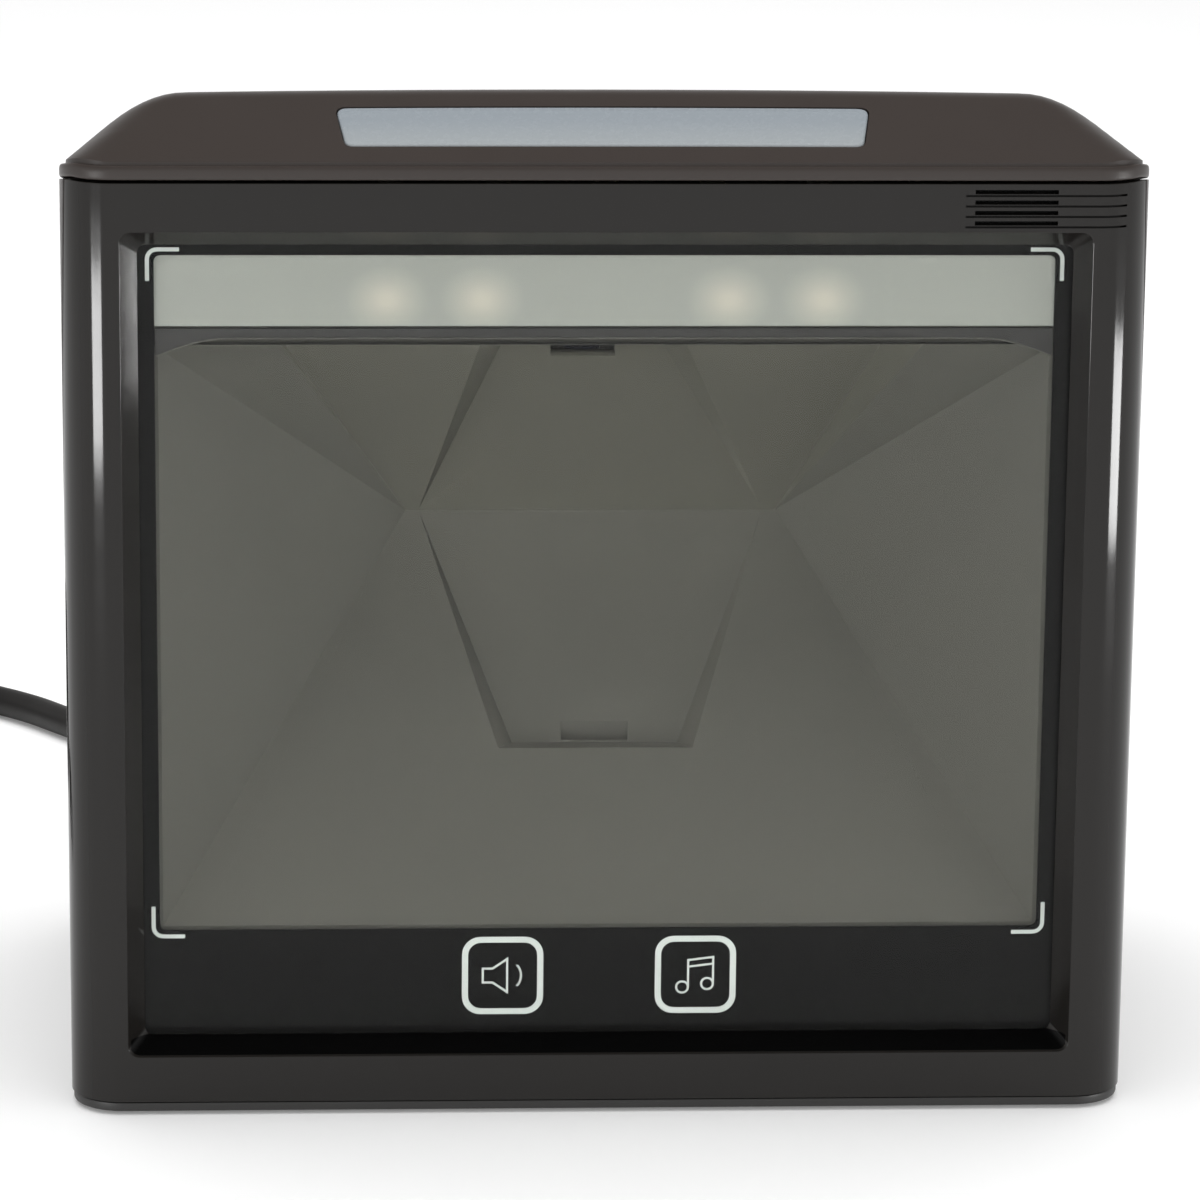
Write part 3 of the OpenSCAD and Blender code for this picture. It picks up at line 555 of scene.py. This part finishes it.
def piece(name, bm, slot, nodes=(), sharp=35.0, body="scanner", weighted=True, material=None):
    """Turns a mesh in millimetres into a finished piece that rides a body and stands for CAD nodes."""
    bmesh.ops.remove_doubles(bm, verts=bm.verts, dist=1e-4)
    bmesh.ops.recalc_face_normals(bm, faces=bm.faces)
    for f in bm.faces:
        f.smooth = True
    for e in bm.edges:
        e.smooth = not (len(e.link_faces) == 2 and e.calc_face_angle() > math.radians(sharp))
    bm.transform(Matrix.Scale(MM, 4))
    mesh = bpy.data.meshes.new(name)
    bm.to_mesh(mesh)
    bm.free()
    mesh.materials.append(material or MATERIALS[slot])
    o = bpy.data.objects.new(name, mesh)
    scene.collection.objects.link(o)
    if weighted:
        m = o.modifiers.new("flat faces stay flat", "WEIGHTED_NORMAL")
        m.keep_sharp, m.weight, m.mode = True, 50, "FACE_AREA"
    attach(o, body)
    if nodes:
        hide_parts(*nodes)
    return o


def eased_cad(name, width, segments=2, angle=30.0):
    """Rounds the edges of a CAD node that stays in view."""
    o = NODES[name]
    weld = o.modifiers.new("weld", "WELD")
    weld.merge_threshold = 1e-6
    m = o.modifiers.new("ease", "BEVEL")
    m.width, m.segments, m.limit_method, m.angle_limit = width * MM, segments, "ANGLE", math.radians(angle)
    m.harden_normals = True
    return o


# ------------------------------------------------------------------ housing

def seam_plane(shift=0.0):
    return (0, back(SEAM_D + shift), LIP_Z0), Vector((0, math.cos(SEAM_LEAN), math.sin(SEAM_LEAN)))


def below_cover(bm, gap):
    """Cuts a solid off under the cover's lower edge, which falls towards the rear."""
    cut(bm, (0, back(3), LIP_Z0 - gap), Vector((0, EDGE_FALL, 1)).normalized())
    return cut(bm, (0, 0, LIP_Z0 - gap), (0, 0, 1))


def make_bezel():
    shell = below_cover(prism(outline(0, 20), 2.0, 150.0), 0.35)
    cut(shell, *seam_plane())
    shell = combine(shell, [block(-73.8, 73.8, 3.3, 40, 4.2, 134.0)])
    near, far = [], []
    for d, half, z0, z1, ring in ((-0.5, 67.96, 8.44, 129.36, near), (3.8, 64.84, 11.56, 126.24, far)):
        r = 1.6 if d < 0 else 1.2
        for cx, cz, start in ((-half + r, z0 + r, 180), (half - r, z0 + r, 270),
                              (half - r, z1 - r, 0), (-half + r, z1 - r, 90)):
            for i in range(6):
                a = math.radians(start + 18 * i)
                ring.append((cx + r * math.cos(a), back(d), cz + r * math.sin(a)))
    hole = bmesh.new()
    a = [hole.verts.new(p) for p in near]
    b = [hole.verts.new(p) for p in far]
    hole.faces.new(a)
    hole.faces.new(reversed(b))
    for i in range(len(a)):
        j = (i + 1) % len(a)
        hole.faces.new((a[j], a[i], b[i], b[j]))
    bmesh.ops.recalc_face_normals(hole, faces=hole.faces)
    shell = combine(shell, [hole, block(-66.9, 66.9, 3.3, 16, 9.0, 128.4)])
    shell = eased(shell, 0.45, 3, 32)
    cutters = [block(49.5, 65.0, 2.0, 9.0, 129.4, 135.2)]
    for i in range(4):
        z = 129.6 + 1.47 * i
        ring = combine(prism(outline(-2.0, 20), z, z + 0.3), [prism(outline(0.8, 20), z - 1, z + 1.3)])
        cutters.append(combine(ring, [block(49.6, 72.2, -3, 14, z - 1, z + 2)], "INTERSECT"))
        cutters.append(block(50.9, 62.5, -1.0, 5.0, z + 0.4, z + 1.0))
    shell = combine(shell, cutters)
    piece("bezel", shell, "bezel_plastic", ["front_bezel"], 25)


def make_rear_housing():
    lean = Vector((0, math.tan(math.radians(72)), 1)).normalized()

    def volume(inset, z0, z1):
        bm = prism(outline(inset, 20), z0, z1)
        cut(bm, (0, HALF_D - inset, 96), lean)
        return bm

    shell = below_cover(volume(0, 2.0, 170.0), 0.2)
    cut(shell, seam_plane()[0], -seam_plane()[1])
    ring = combine(prism(outline(-3, 20), 0, 150), [prism(outline(0.7, 20), -1, 151)])
    cut(ring, *seam_plane(0.45))
    cut(ring, seam_plane(-1)[0], -seam_plane()[1])
    shell = combine(shell, [volume(WALL, -1, 170.0), ring,
                            block(-34, 34, 86, 120, 8, 32)])
    shell = eased(shell, 0.3, 2, 32)
    posts = []
    for s in (-1, 1):
        for d in (20, 84):
            post = rod((s * 69.5, back(d), 4.5), (0, 0, 1), 4.4, 12)
            posts.append(combine(post, [rod((s * 69.5, back(d), 4), (0, 0, 1), 1.4, 9)]))
        for z in (44, 100):
            post = rod((s * 48, back(72), z), (0, 1, 0), 3.4, 24)
            posts.append(combine(post, [rod((s * 48, back(70), z), (0, 1, 0), 1.2, 9)]))
    piece("rear_shell", joined([shell] + posts), "housing_plastic", ["rear_housing"], 25)


SLOPE = math.tan(math.radians(31.3))


def soft_min(a, b, k):
    h = max(k - abs(a - b), 0.0) / k
    return min(a, b) - h * h * k * 0.25


def cover_z(x, d):
    """Height of the cover's outer skin: sloping front, roof, leaning ends and leaning rear."""
    climb = min(1.0, max(0.0, (d - 0.5) / 13.5))
    crown = 0.55 * (x / 64.0) ** 2 * climb
    front = LIP_Z1 + (d - 0.5) * SLOPE
    roof = 146.6 - (d - 14) * math.tan(math.radians(10))
    ridge = soft_min(front, roof, 1.5) - crown
    side = LIP_Z1 - (d - 0.5) * EDGE_FALL + (HALF_W - abs(x)) * 0.908
    rear = 96 + (100 - d) * math.tan(math.radians(72))
    return soft_min(soft_min(ridge, side, 5.0), rear, 5.0)


def cover_rows(inset, last):
    """Pairs of depth and half width along the cover, close together where it curves."""
    f, r = FRONT_R - inset, REAR_R - inset
    rows = []
    for i in range(17):
        a = math.radians(90 * i / 16)
        rows.append((inset + f * (1 - math.cos(a)), HALF_W - FRONT_R + f * math.sin(a)))
    d = rows[-1][0]
    steps = [8.6, 9.6, 10.6, 11.5, 12.3, 13.0, 13.6, 14.2, 14.9, 15.8, 17, 19, 22, 26, 31, 37, 43, 49,
             55, 61, 67, 72, 76, 79, 81.5, 83.5, 85]
    rows += [(s, HALF_W - inset) for s in steps if s > d + 0.4]
    i = 0
    while True:
        d = 86.0 + 0.55 * i
        if d >= last - 0.2:
            break
        rows.append((d, HALF_W - REAR_R + math.sqrt(max(r * r - (d - 86.0) ** 2, 0))))
        i += 1
    rows.append((last, HALF_W - REAR_R + math.sqrt(max(r * r - (last - 86.0) ** 2, 0))))
    return rows


def cover_across():
    """Shares of the half width, close together near both ends."""
    half = [0.0, 0.12, 0.24, 0.36, 0.47, 0.56, 0.63, 0.69, 0.74, 0.775, 0.80, 0.82, 0.84, 0.86,
            0.88, 0.90, 0.92, 0.94, 0.96, 0.98, 1.0]
    return [-s for s in reversed(half[1:])] + half


def skin(bm, rows, lift):
    across = cover_across()
    grid = []
    for d, w in rows:
        grid.append([bm.verts.new((s * w, back(d), lift(s * w, d))) for s in across])
    for i in range(len(rows) - 1):
        for j in range(len(across) - 1):
            bm.faces.new((grid[i][j], grid[i][j + 1], grid[i + 1][j + 1], grid[i + 1][j]))
    edge = grid[0][:]
    edge += [row[-1] for row in grid[1:]]
    edge += grid[-1][-2::-1]
    edge += [row[0] for row in grid[-2:0:-1]]
    return edge


def lower_edge(d):
    return LIP_Z0 - max(0.0, d - 3.0) * EDGE_FALL


def make_cover():
    bm = bmesh.new()
    rows = cover_rows(0.95, 92.35)
    top = skin(bm, rows, cover_z)

    def ring(profile):
        """The edge loop moved outwards by profile[0] and placed profile[1] above the lower edge."""
        out = []
        n = len(top)
        for i, v in enumerate(top):
            a, b = top[i - 1].co, top[(i + 1) % n].co
            t = (b - a)
            t.z = 0
            t.normalize()
            side = Vector((t.y, -t.x, 0))
            p = v.co + side * profile[0]
            out.append(bm.verts.new((p.x, p.y, lower_edge(p.y + HALF_D) + profile[1])))
        return out

    loops = [top] + [ring(p) for p in (
        (0.05, 2.02), (0.22, 1.86), (0.42, 1.98), (0.66, 1.93), (0.84, 1.76), (0.93, 1.5), (0.95, 1.2),
        (0.95, 0.6), (0.93, 0.36), (0.85, 0.16), (0.7, 0.04), (0.5, 0.0), (-1.3, 0.0))]
    n = len(top)
    for a, b in zip(loops, loops[1:]):
        for i in range(n):
            j = (i + 1) % n
            bm.faces.new((a[j], a[i], b[i], b[j]))
    inner_rows = cover_rows(3.2, 90.4)
    inner = skin(bm, inner_rows, lambda x, d: max(cover_z(x, d) - 2.8, lower_edge(d) + 0.3))
    rims = set()
    for loop in (loops[-1], inner):
        for i, v in enumerate(loop):
            after = loop[(i + 1) % len(loop)]
            rims.update(e for e in v.link_edges if e.other_vert(v) is after)
    bmesh.ops.bridge_loops(bm, edges=list(rims))
    bmesh.ops.recalc_face_normals(bm, faces=bm.faces)
    opening = lens_solid(0.12, -9.0, 6.0)
    bm = combine(bm, [opening])
    piece("cover", bm, "cover_plastic", ["top_cover"], 28)


def on_slope(s, x, lift):
    """A point at distance s up the sloping front, lift above the cover's skin."""
    a = math.atan(SLOPE)
    d = 0.5 + s * math.cos(a)
    normal = Vector((0, -math.sin(a), math.cos(a)))
    return Vector((x, back(d), cover_z(x, d))) + normal * lift


def lens_outline(grow):
    corners = [(-36.3 - grow, 3.9 - grow), (35.6 + grow, 3.9 - grow),
               (36.9 + grow, 12.1 + grow), (-37.7 - grow, 12.1 + grow)]
    points, r = [], 1.4
    for i, c in enumerate(corners):
        a, b = Vector(corners[i - 1]), Vector(corners[(i + 1) % 4])
        c = Vector(c)
        u, v = (a - c).normalized(), (b - c).normalized()
        half = u.angle(v) / 2
        start, end = c + u * (r / math.tan(half)), c + v * (r / math.tan(half))
        for k in range(6):
            t = k / 5
            points.append(((1 - t) ** 2) * start + 2 * t * (1 - t) * c + t * t * end)
        length = (b - c).length
        if length > 20:
            steps = 16
            far = c + v * (length - r)
            for k in range(1, steps):
                points.append(end.lerp(far, k / steps))
    return points


def lens_solid(grow, low, high):
    bm = bmesh.new()
    rings = []
    for lift in (low, high):
        rings.append([bm.verts.new(on_slope(p.y, p.x, lift)) for p in lens_outline(grow)])
    bm.faces.new(reversed(rings[0]))
    bm.faces.new(rings[1])
    n = len(rings[0])
    for i in range(n):
        j = (i + 1) % n
        bm.faces.new((rings[0][i], rings[0][j], rings[1][j], rings[1][i]))
    bmesh.ops.recalc_face_normals(bm, faces=bm.faces)
    return bm


def make_lens():
    """Light bar: a plate with a rounded rim and a slightly domed face."""
    bm = bmesh.new()
    profile = [(0.0, -2.4), (0.0, -0.32), (-0.06, -0.12), (-0.18, 0.0), (-0.36, 0.06), (-0.62, 0.06),
               (-0.74, 0.0), (-0.9, 0.0), (-1.6, 0.05)]
    loops = [[bm.verts.new(on_slope(p.y, p.x, lift)) for p in lens_outline(grow)] for grow, lift in profile]
    n = len(loops[0])
    bm.faces.new(reversed(loops[0]))
    for a, b in zip(loops, loops[1:]):
        for i in range(n):
            j = (i + 1) % n
            bm.faces.new((a[i], a[j], b[j], b[i]))
    bm.faces.new(loops[-1])
    piece("light_bar", bm, "lens_plastic", ["status_lens"], 60, weighted=False)


def make_base():
    plate = eased(prism(outline(0.3, 20), 0.5, 1.85), 0.3, 2, 40)
    inner = below_cover(prism(outline(2.5, 20), 1.8, 4.5), 0)
    inner = combine(inner, [block(-76, 76, -1, 12.4, 1.9, 8), block(-36.3, 36.3, 85.7, 100, 1.9, 8)])
    bosses = [rod((x, y, 2), (0, 0, 1), 5, 8) for x in (-30, 30) for y in (-15, 15)]
    plate = combine(plate, [inner] + bosses, "UNION")
    holes = [rod((x, y, -1), (0, 0, 1), 2.8, 12) for x in (-30, 30) for y in (-15, 15)]
    for s in (-1, 1):
        for d in (20, 84):
            holes += [rod((s * 69.5, back(d), -1), (0, 0, 1), 1.7, 8),
                      rod((s * 69.5, back(d), -1), (0, 0, 1), 3.2, 3.4)]
    holes += [rod((x, y, -1), (0, 0, 1), 7.05, 2.3) for x in (-58, 58) for y in (-39, 39)]
    holes.append(block(-22, 22, 38, 62, -1, 0.7))
    plate = combine(plate, holes)
    piece("base_tray", plate, "base_plastic", ["base_plate"], 30)


def make_feet():
    parts = []
    for x in (-58, 58):
        for y in (-39, 39):
            bm = bmesh.new()
            profile = [(0, 0.35), (3.4, 0.35), (3.7, 0.0), (6.1, 0.0), (6.6, 0.15), (6.9, 0.5), (7.0, 0.8),
                       (7.0, 1.3), (0, 1.3)]
            lathe(bm, profile, (x, y, 0), (0, 0, 1), 48)
            parts.append(bm)
    piece("table_feet", joined(parts), "foot_rubber", ["rubber_feet"], 40)


def lathe(bm, profile, centre, axis, sides=48):
    """Turns (radius, height) points round an axis through centre."""
    turn = Vector((0, 0, 1)).rotation_difference(Vector(axis)).to_matrix()
    rings = []
    for r, h in profile:
        if r < 1e-6:
            rings.append([bm.verts.new(Vector(centre) + turn @ Vector((0, 0, h)))] * sides)
            continue
        rings.append([bm.verts.new(Vector(centre) + turn @ Vector(
            (r * math.cos(2 * math.pi * k / sides), r * math.sin(2 * math.pi * k / sides), h)))
            for k in range(sides)])
    for a, b in zip(rings, rings[1:]):
        for k in range(sides):
            j = (k + 1) % sides
            corners = []
            for v in (a[k], a[j], b[j], b[k]):
                if v not in corners:
                    corners.append(v)
            if len(corners) > 2:
                bm.faces.new(corners)
    return bm


# ------------------------------------------------------------------ window

def make_glass():
    pane = eased(block(-66.85, 66.85, 3.32, 5.24, 9.05, 128.35), 0.2, 2, 40)
    o = piece("window_pane", pane, "glass", ["window_glass"], 60)
    o.visible_shadow = False


def visor_strip(profile, name, slot, nodes=()):
    """A rail under the light strip, swept across the window; its ends droop with the side walls."""
    bm = bmesh.new()
    rings = []
    for i in range(73):
        x = -62.9 + 125.8 * i / 72
        sag = 2.6 * max(0.0, (abs(x) - 53.5) / 9.4) ** 1.6
        rings.append([bm.verts.new((x, back(d), z if fixed else z - sag)) for d, z, fixed in profile])
    bm.faces.new(rings[0])
    bm.faces.new(reversed(rings[-1]))
    for a, b in zip(rings, rings[1:]):
        for i in range(len(profile)):
            j = (i + 1) % len(profile)
            bm.faces.new((a[i], b[i], b[j], a[j]))
    return piece(name, bm, slot, nodes, 40)


def make_visor():
    visor_strip([(5.7, 114.25, True), (5.7, 112.95, False), (5.85, 112.75, False), (8.1, 112.75, False),
                 (8.1, 114.25, True)], "visor_rail", "visor_plastic", ["light_visor"])
    # Painted highlight: a thin strip of the paler chamber plastic along the rail's lower front edge stands in
    # for the light that edge catches.
    visor_strip([(5.6, 112.98, False), (5.58, 112.9, False), (5.6, 112.8, False), (5.84, 112.72, False),
                 (5.84, 112.98, False)], "visor_painted_highlight", "chamber_plastic")


make_visor()
EASED_NODES = {
    "connector_bay": 0.3, "host_jack": 0.15, "aux_jack": 0.15, "modular_plug": 0.15, "cord_boot": 0.25,
    "usb_plug_grip": 0.4, "usb_plug_shell": 0.12, "cord_ties": 0.12, "chamber_floor": 0.15,
}
for node, width in EASED_NODES.items():
    eased_cad(node, width)
make_bezel()
make_rear_housing()
make_cover()
make_lens()
make_base()
make_feet()
make_glass()


# ------------------------------------------------------------------ stage

def make_stage():
    """Plain pale floor, in metres, under a sky that is brightest near the horizon."""
    p = Paint("table_top")
    cloud = p.noise(3.0, 3.0, 0.5)
    p.set(Base_Color=p.mixed(cloud, (0.86, 0.86, 0.86), (0.88, 0.88, 0.88)),
          Roughness=p.mapped(p.noise(30.0), 0.8, 0.9, 0.3, 0.7), Specular_IOR_Level=0.1,
          Emission_Color=(1.0, 1.0, 1.0, 1.0), Emission_Strength=0.16)
    bm = bmesh.new()
    bmesh.ops.create_grid(bm, x_segments=8, y_segments=8, size=4.0, matrix=Matrix.Translation((0, 1.0, 0)))
    mesh = bpy.data.meshes.new("table_top")
    bm.to_mesh(mesh)
    bm.free()
    floor = bpy.data.objects.new("table_top", mesh)
    scene.collection.objects.link(floor)
    mesh.materials.append(p.material)

    world = bpy.data.worlds.new("studio")
    world.use_nodes = True
    tree = world.node_tree
    sky = tree.nodes["Background"]
    height = tree.nodes.new("ShaderNodeSeparateXYZ")
    tree.links.new(tree.nodes.new("ShaderNodeTexCoord").outputs["Generated"], height.inputs[0])
    fade = tree.nodes.new("ShaderNodeMapRange")
    tree.links.new(height.outputs[2], fade.inputs["Value"])
    for key, number in (("From Min", 0.25), ("From Max", 0.75), ("To Min", 0.85), ("To Max", 0.08)):
        fade.inputs[key].default_value = number
    sky.inputs["Color"].default_value = (1, 1, 1, 1)
    tree.links.new(fade.outputs["Result"], sky.inputs["Strength"])
    scene.world = world
    scene.view_settings.view_transform = "Standard"


def panel(name, place, target, width, height, watts):
    """A white lamp that the camera doesn't see. Its lengths are metres."""
    data = bpy.data.lights.new(name, "AREA")
    data.shape = "RECTANGLE"
    data.size, data.size_y = width, height
    data.energy = watts
    lamp = bpy.data.objects.new(name, data)
    lamp.location = place
    lamp.rotation_euler = (Vector(target) - Vector(place)).to_track_quat("-Z", "Y").to_euler()
    lamp.visible_camera = False
    scene.collection.objects.link(lamp)
    return lamp


def make_lights():
    """Soft light from above and in front, and two low cards that only draw the corner highlights."""
    top = panel("overhead", (0.0, 0.1, 1.5), (0, 0, 0.05), 1.8, 1.8, 30)
    top.visible_glossy = False
    for name, place, target, width, watts in (
            ("front_left", (-0.316, -0.365, 0.021), (-0.07, -0.05, 0.021), 0.15, 0.5),
            ("front_right", (0.35, -0.225, 0.022), (0.07, -0.05, 0.022), 0.12, 0.45)):
        glint = panel(name, place, target, width, 0.042, watts)
        glint.visible_diffuse = False
    fill = panel("front_fill", (0.0, -1.0, 0.5), (0, 0, 0.07), 1.4, 0.6, 2.2)
    fill.visible_glossy = False


make_stage()
make_lights()
